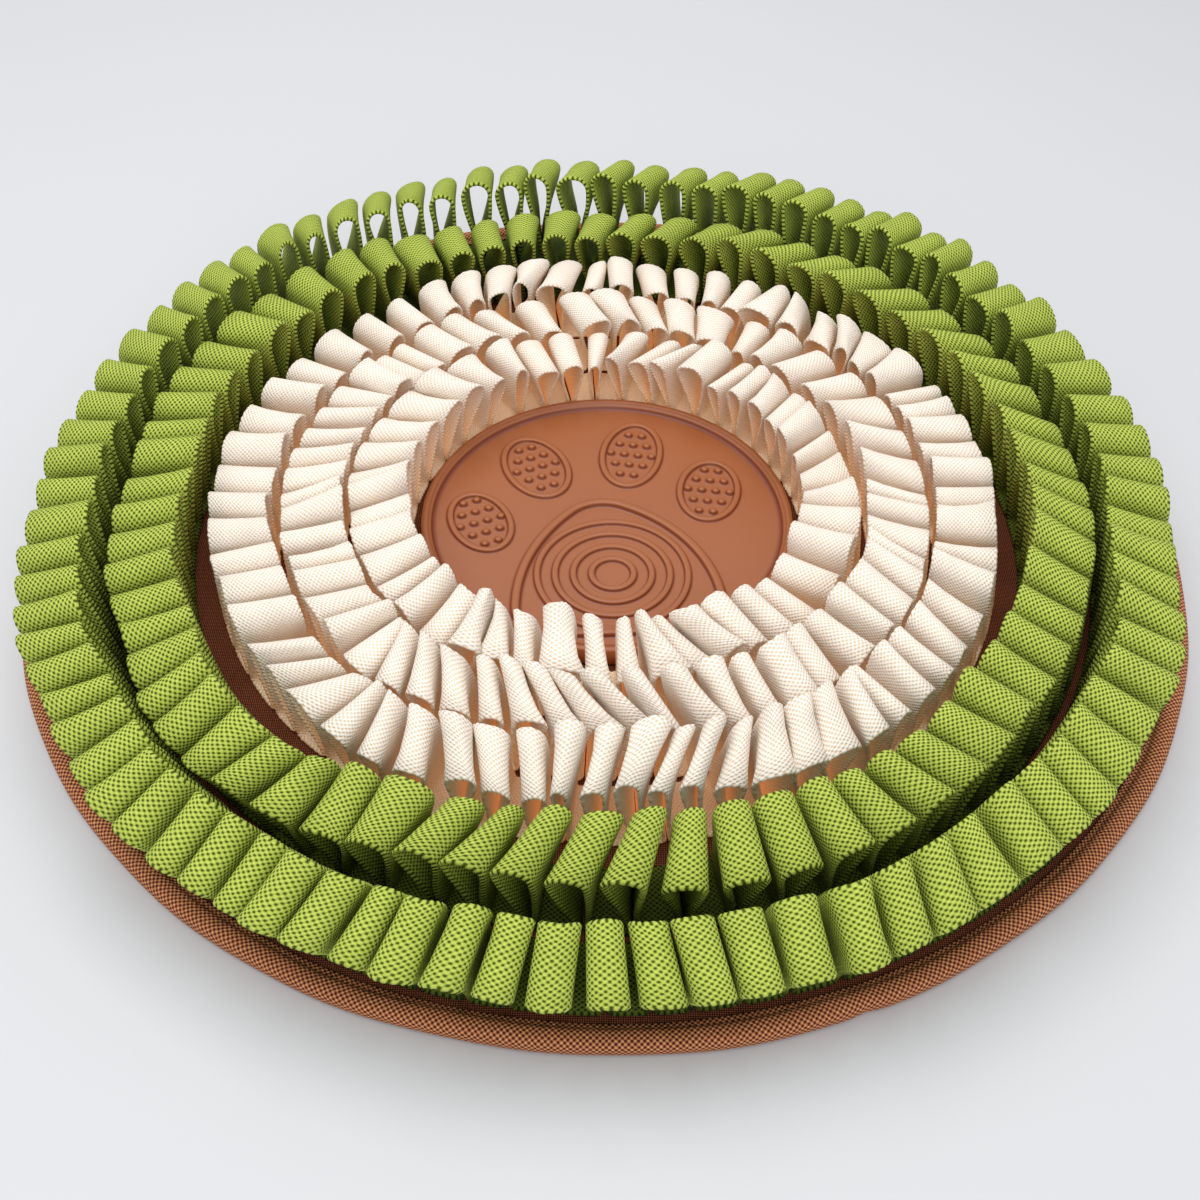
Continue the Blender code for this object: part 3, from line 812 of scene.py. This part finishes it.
# %% Make the base
MAT_RADIUS = 0.225
RIM_WIDTH = 0.007
RIM_HEIGHT = 0.0075
AXIS = 0.1 * MM               # the small hole that a turned grid leaves in its middle
PADDING = 0.15 * MM
PADDING_WAVES = 420           # radians a metre, so that a line of stitching comes every 15 mm
UNDERSIDE = 0.3 * MM
UNDERSIDE_RING = 100 * MM
BASE_RINGS = 108
BASE_STEPS = 240


def disc_grid(radii, heights, steps):
    """Points of a turned profile: rows outward, columns round."""
    angle = np.arange(steps) * FULL_TURN / steps
    radii = np.asarray(radii)[:, None]
    return np.stack(np.broadcast_arrays(
        radii * np.cos(angle), radii * np.sin(angle), np.asarray(heights)[:, None]), axis=2)


def flat_cloth(points):
    """The flat cloth of a piece that lies level: its own x and y."""
    closed = np.concatenate([points, points[:, :1]], axis=1)
    closed = np.concatenate([closed, closed[:1]], axis=0)
    return closed[:, :, :2]


def cloth_base():
    edge = MAT_RADIUS - RIM_WIDTH - GAP
    out = np.concatenate([[AXIS], np.linspace(4 * MM, edge - 0.8 * MM, BASE_RINGS), [edge]])
    up = BASE_HEIGHT - 0.2 * MM + PADDING * np.sin(out * PADDING_WAVES)
    up[-1] = BASE_HEIGHT - MM
    out = np.concatenate([out, [edge, edge - MM, UNDERSIDE_RING, AXIS]])
    up = np.concatenate([up, [MM, UNDERSIDE, UNDERSIDE, UNDERSIDE]])
    points = disc_grid(out, up, BASE_STEPS)
    thing = mesh_from_grid("base_cloth", points, flat_cloth(points), rust_oxford, False, True)
    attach(thing, "root")
    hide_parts("base_mat")
    return thing


cloth_base()

# %% [markdown]
# ## The bound rim
#
# A strip of coarser brown cloth is rolled round the edge and sewn down inside it, which leaves a
# groove.  It is a curved section swept round the mat, uneven as a hand-fed binding is, with the
# lap of its two ends at the front right.  A torus would be quicker, but it has no seam, no groove
# and no flat underside.

# %% Roll the binding
BINDING_THICK = 0.7 * MM
BINDING_STEPS = 900
LAP_AZIMUTH = 291.0           # degrees, at the front right
LAP_WIDTH = 1.0               # degrees
LAP_PINCH = 0.1
SQUARENESS = 0.8              # under 1 makes the roll's section fuller than an oval
ROLL_POINTS = 19
ROLL_START = 160              # degrees round from the outer side, where the strip leaves the seam
ROLL_STEP = 14.5              # degrees
ROLL_HALF_WIDTH = 0.46        # a share of the rim's width
ROLL_HALF_HEIGHT = 0.45       # a share of the rim's height
Wobble = namedtuple("Wobble", "size waves phase")
EDGE_WOBBLES = (Wobble(0.25 * MM, 9, 1), Wobble(0.2 * MM, 23, 2))
HEIGHT_WOBBLE = Wobble(0.05, 14, 0.5)      # its size is a share of the height


def wave(angle, wobble):
    return wobble.size * np.sin(angle * wobble.waves + wobble.phase)


def fuller(value):
    """A sine or cosine, pushed outward."""
    return math.copysign(abs(value) ** SQUARENESS, value)


def binding_section():
    """The strip's middle line from the seam, over the top, round the edge and back under."""
    inner = MAT_RADIUS - RIM_WIDTH
    middle = (inner + RIM_WIDTH * 0.52, RIM_HEIGHT * 0.5)
    seam = [(inner - 1.6 * MM, BASE_HEIGHT + 0.7 * MM), (inner - 0.4 * MM, BASE_HEIGHT + 0.6 * MM)]
    roll = []
    for step in range(ROLL_POINTS):
        angle = math.radians(ROLL_START - step * ROLL_STEP)
        roll.append((middle[0] + RIM_WIDTH * ROLL_HALF_WIDTH * fuller(math.cos(angle)),
                     middle[1] + RIM_HEIGHT * ROLL_HALF_HEIGHT * fuller(math.sin(angle))))
    tucked_end = [(inner + 0.2 * MM, 0.4 * MM)]
    return np.array(seam + roll + tucked_end)


def edge_binding():
    line = binding_section()
    slope = np.gradient(line, axis=0)
    slope /= np.linalg.norm(slope, axis=1, keepdims=True)
    normal = np.stack([-slope[:, 1], slope[:, 0]], axis=1) * BINDING_THICK / 2
    both_faces = np.concatenate([line + normal, (line - normal)[::-1]])
    reach = np.append(0, np.cumsum(np.hypot(*np.diff(line, axis=0).T)))
    wide = np.concatenate([reach, reach[::-1]])
    angle = np.arange(BINDING_STEPS) * FULL_TURN / BINDING_STEPS
    wobble = sum(wave(angle, each) for each in EDGE_WOBBLES)
    near_lap = np.exp(-((np.degrees(angle) - LAP_AZIMUTH) / LAP_WIDTH) ** 2)
    pinch = 1 - LAP_PINCH * near_lap
    inner = MAT_RADIUS - RIM_WIDTH
    section_out = both_faces[:, 0][:, None]
    out = inner + (section_out - inner) * pinch[None, :] + wobble * (section_out > inner)
    up = both_faces[:, 1][:, None] * (1 + wave(angle, HEIGHT_WOBBLE))
    up = np.clip(up, 0.1 * MM, RIM_HEIGHT + 0.4 * MM)
    points = np.stack([out * np.cos(angle), out * np.sin(angle), up], axis=2)
    around = np.append(angle, FULL_TURN) * MAT_RADIUS
    wide = np.append(wide, wide[0])
    cloth = np.stack(np.broadcast_arrays(wide[:, None], around[None, :]), axis=2)
    thing = mesh_from_grid("rim_binding", points, cloth, rust_coarse, True, True)
    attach(thing, "root")
    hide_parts("edge_binding")
    return thing


edge_binding()

# %% [markdown]
# ## The lick pad
#
# The pad is moulded silicone: a shallow dish with a lip, and a paw of ridges on its floor.  A
# mould cuts each ridge with one cutter led along a line, so the paw starts as lines: four ovals for
# the toes, and a palm of three round corners joined by bowed sides.  The pad's own sizes are in
# metres like all the rest, and the paw's are in millimetres, as on a maker's drawing.  The toes
# are turned further, and are a little narrower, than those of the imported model.

# %% The paw's lines
PAD_RADIUS = 0.0737
PAD_HEIGHT = 0.0078
PAD_FLOOR = 0.0050
LIP_WIDTH = 0.0040
Oval = namedtuple("Oval", "x y half_width half_length turn")
TOES = (
    Oval(-50.2, -3.6, 11.3, 16.8, 24),
    Oval(-29.6, 30.0, 12.3, 18.7, 24),
    Oval(9.6, 39.0, 11.8, 19.6, -8),
    Oval(41.1, 17.5, 11.7, 17.5, -7),
)
Corner = namedtuple("Corner", "x y radius bow")
PALM = (
    Corner(-1.3, -8.8, 17.8, 74.0),
    Corner(-21.5, -50.5, 12.5, 230.0),
    Corner(31.5, -45.5, 12.3, 62.0),
)
RIPPLE_CENTRE = (2.3, -31.5)
RIPPLE_RADII = (8.1, 15.1, 22.1, 29.0)
TOE_POINTS = 160
RIPPLE_POINTS = 200
PALM_POINTS = 241


def oval_line(oval, count=TOE_POINTS):
    angle = np.arange(count + 1) * FULL_TURN / count
    x = oval.half_width * np.cos(angle)
    y = oval.half_length * np.sin(angle)
    turn = math.radians(oval.turn)
    return np.stack([oval.x + x * math.cos(turn) - y * math.sin(turn),
                     oval.y + x * math.sin(turn) + y * math.cos(turn)], axis=1) * MM


def bow_centre(first, second):
    """The centre of the side that touches two corners' circles from outside, bowed outward."""
    to_first = first.bow - first.radius
    to_second = first.bow - second.radius
    dx = second.x - first.x
    dy = second.y - first.y
    span = math.hypot(dx, dy)
    along = (to_first ** 2 - to_second ** 2 + span ** 2) / (2 * span)
    aside = math.sqrt(to_first ** 2 - along ** 2)
    return first.x + (along * dx - aside * dy) / span, first.y + (along * dy + aside * dx) / span


def arc(x, y, radius, start, end, count=30):
    """Points along an arc, counter-clockwise."""
    while end < start:
        end += FULL_TURN
    angle = np.linspace(start, end, count)
    return np.stack([x + radius * np.cos(angle), y + radius * np.sin(angle)], axis=1)


def evenly(points, count=PALM_POINTS):
    """The same line with its points at even distances."""
    length = np.append(0, np.cumsum(np.hypot(*np.diff(points, axis=0).T)))
    even = np.linspace(0, length[-1], count)
    return np.stack([np.interp(even, length, points[:, axis]) for axis in (0, 1)], axis=1)


def palm_line():
    """The palm: three round corners joined by bowed sides."""
    sides = [bow_centre(corner, PALM[(i + 1) % len(PALM)]) for i, corner in enumerate(PALM)]
    arcs = []
    for i, corner in enumerate(PALM):
        after = PALM[(i + 1) % len(PALM)]
        before_x, before_y = sides[i - 1]
        x, y = sides[i]
        start = math.atan2(corner.y - before_y, corner.x - before_x)
        turn = math.atan2(corner.y - y, corner.x - x)
        arcs.append(arc(corner.x, corner.y, corner.radius, start, turn))
        arcs.append(arc(x, y, corner.bow, turn, math.atan2(after.y - y, after.x - x)))
    return evenly(np.concatenate(arcs + [arcs[0][:1]])) * MM


print("the palm's line has", len(palm_line()), "points")

# %% [markdown]
# A ridge is one small section led along its line, which keeps its edges crisp.  Displacing the
# floor with a height map would be shorter to write, but the edges would step along the grid.  The
# section starts with a thin fillet on the floor, coloured darker as painted shade, like the shade
# in the crease of a real moulding.  Small round pegs fill the toes: they are the same section,
# turned.

# %% Shape the ridges and pegs
Ridge = namedtuple("Ridge", "half_width height")
TOE_RIDGE = Ridge(1.2 * MM, 1.3 * MM)
PALM_RIDGE = Ridge(1.6 * MM, 1.8 * MM)
RIPPLE_RIDGE = Ridge(1.2 * MM, 1.3 * MM)
PEG = Ridge(1.4 * MM, 1.6 * MM)
# places on the cutter, from the floor to the crest, as shares of a ridge's half width and height
CUTTER = ((1.75, -0.02), (1.7, 0.005), (1.25, 0.02), (1.08, 0.08), (1.0, 0.5), (0.9, 0.82),
          (0.68, 0.97), (0.3, 1.0))
# painted shade: the places of the fillet in the crease get a darker colour
CREASE_SHADE = (0.0, 0.0, 0.9, 1.0, 0.35, 0.0, 0.0, 0.0)   # how shaded each place of the cutter lies
PEG_ROWS = (2, 3, 4, 3, 2)
PEG_PITCH = 5.7               # millimetres from peg to peg in a row
PEG_ROW_PITCH = 6.27          # millimetres from row to row
PEG_SIDES = 28


def ridge_grid(line, ridge, floor_height):
    """A closed line of points and the section led along it, as a grid and its painted shade."""
    line = line[:-1]
    slope = np.roll(line, -1, axis=0) - np.roll(line, 1, axis=0)
    slope /= np.linalg.norm(slope, axis=1, keepdims=True)
    aside = np.stack([slope[:, 1], -slope[:, 0]], axis=1)
    section = list(CUTTER) + [(-out, up) for out, up in reversed(CUTTER)]
    dusk = CREASE_SHADE + CREASE_SHADE[::-1]
    rows = []
    for out, up in section:
        spots = line + aside * out * ridge.half_width
        height = np.full((len(line), 1), floor_height + up * ridge.height)
        rows.append(np.concatenate([spots, height], axis=1))
    return np.stack(rows), dusk


def peg_grid(spot, floor_height):
    """A round peg with a domed top, as a grid and its painted shade."""
    angle = np.arange(PEG_SIDES) * FULL_TURN / PEG_SIDES
    around = np.stack([np.cos(angle), np.sin(angle)], axis=1)
    rows = []
    for out, up in CUTTER + ((0.02, 1.02),):
        spots = spot + around * out * PEG.half_width
        height = np.full((PEG_SIDES, 1), floor_height + up * PEG.height)
        rows.append(np.concatenate([spots, height], axis=1))
    return np.stack(rows), CREASE_SHADE + (0.0,)


def peg_places(oval):
    """The pegs of a toe, in rows of two, three, four, three and two."""
    turn = math.radians(oval.turn)
    places = []
    for row, count in enumerate(PEG_ROWS):
        for k in range(count):
            x = (k - (count - 1) / 2) * PEG_PITCH
            y = (row - 2) * PEG_ROW_PITCH
            places.append((oval.x + x * math.cos(turn) - y * math.sin(turn),
                           oval.y + x * math.sin(turn) + y * math.cos(turn)))
    return np.array(places) * MM


def paw_grids(floor_height):
    """Every ridge and peg of the paw."""
    grids = [ridge_grid(oval_line(oval), TOE_RIDGE, floor_height) for oval in TOES]
    grids.append(ridge_grid(palm_line(), PALM_RIDGE, floor_height))
    for radius in RIPPLE_RADII:
        ring = Oval(*RIPPLE_CENTRE, radius, radius, 0)
        grids.append(ridge_grid(oval_line(ring, RIPPLE_POINTS), RIPPLE_RIDGE, floor_height))
    for oval in TOES:
        grids += [peg_grid(spot, floor_height) for spot in peg_places(oval)]
    return grids


print("the paw has", len(paw_grids(0.0)), "ridges and pegs")

# %% [markdown]
# The dish itself is one turned profile, from the middle of its floor over the lip and back
# underneath.  The paw's shapes are joined to it, because the real pad is one moulding.  Silicone
# has a satin skin: a middling roughness, and a thin coat that catches the panels of light.

# %% Mould the pad
def silicone_finish():
    bench = Bench("cocoa_silicone", roughness=0.42, coat_weight=0.12, coat_roughness=0.3)
    place = bench.place()
    clouds = bench.noise(place, 22.0, 3.0)
    grain = bench.noise(place, 1800.0, 2.0)
    colour = bench.mix(clouds, linear(150, 83, 42), linear(160, 92, 48))
    # the creases at the foot of the lip, the ridges and the pegs get a darker colour: painted shade
    dusk = bench.node("ShaderNodeAttribute", {"attribute_name": "dusk"}, output=2)
    bench.wear("Base Color", bench.tint(dusk, colour, linear(196, 148, 116)))
    bench.wear("Roughness", 0.38 + clouds * 0.12)
    bench.bump(grain, 0.02 * MM)
    return bench.material


# a turn is a radius, a height, and how much painted shade its colour gets, 1 in the lip's crease
Turn = namedtuple("Turn", "radius height dusk")
PAD_STEPS = 360


def pad_profile(under):
    """The pad's section, from the middle of its floor over the lip and back underneath."""
    floor = under + PAD_FLOOR
    top = under + PAD_HEIGHT
    wall = PAD_RADIUS - LIP_WIDTH
    return [
        Turn(0.05 * MM, floor, 0),
        Turn(30 * MM, floor, 0),
        Turn(60 * MM, floor, 0),
        Turn(wall - 2.2 * MM, floor, 0),
        Turn(wall - 0.6 * MM, floor + 0.1 * MM, 1),
        Turn(wall, floor + 0.8 * MM, 1),
        Turn(wall + 0.2 * MM, top - 1.4 * MM, 0),
        Turn(wall + 0.5 * MM, top - 1.1 * MM, 0),
        Turn(wall + 1.1 * MM, top - 1.0 * MM, 0),
        Turn(wall + 1.3 * MM, top - 0.3 * MM, 0),
        Turn(wall + 1.8 * MM, top, 0),
        Turn(PAD_RADIUS - 1.2 * MM, top, 0),
        Turn(PAD_RADIUS - 0.4 * MM, top - 0.3 * MM, 0),
        Turn(PAD_RADIUS, top - 1.0 * MM, 0),
        Turn(PAD_RADIUS, under + 0.8 * MM, 0),
        Turn(PAD_RADIUS - 0.6 * MM, under, 0),
        Turn(20 * MM, under, 0),
        Turn(0.05 * MM, under, 0),
    ]


def lick_pad():
    under = BASE_HEIGHT + GAP
    profile = pad_profile(under)
    points = disc_grid([turn.radius for turn in profile], [turn.height for turn in profile], PAD_STEPS)
    silicone = silicone_finish()
    thing = mesh_from_grid("silicone_lick_pad", points, flat_cloth(points), silicone, False, True)
    mark(thing, "dusk", np.repeat([turn.dusk for turn in profile], PAD_STEPS))
    shapes = []
    for grid, dusk in paw_grids(under + PAD_FLOOR):
        shape = mesh_from_grid("paw_shape", grid, flat_cloth(grid), silicone, False, True, False)
        mark(shape, "dusk", np.repeat(dusk, grid.shape[1]))
        shapes.append(shape)
    with bpy.context.temp_override(active_object=thing, selected_editable_objects=[thing] + shapes):
        bpy.ops.object.join()
    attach(thing, "root")
    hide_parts("lick_pad")
    print("the pad has", len(thing.data.polygons) * 2, "triangles")
    return thing


lick_pad()
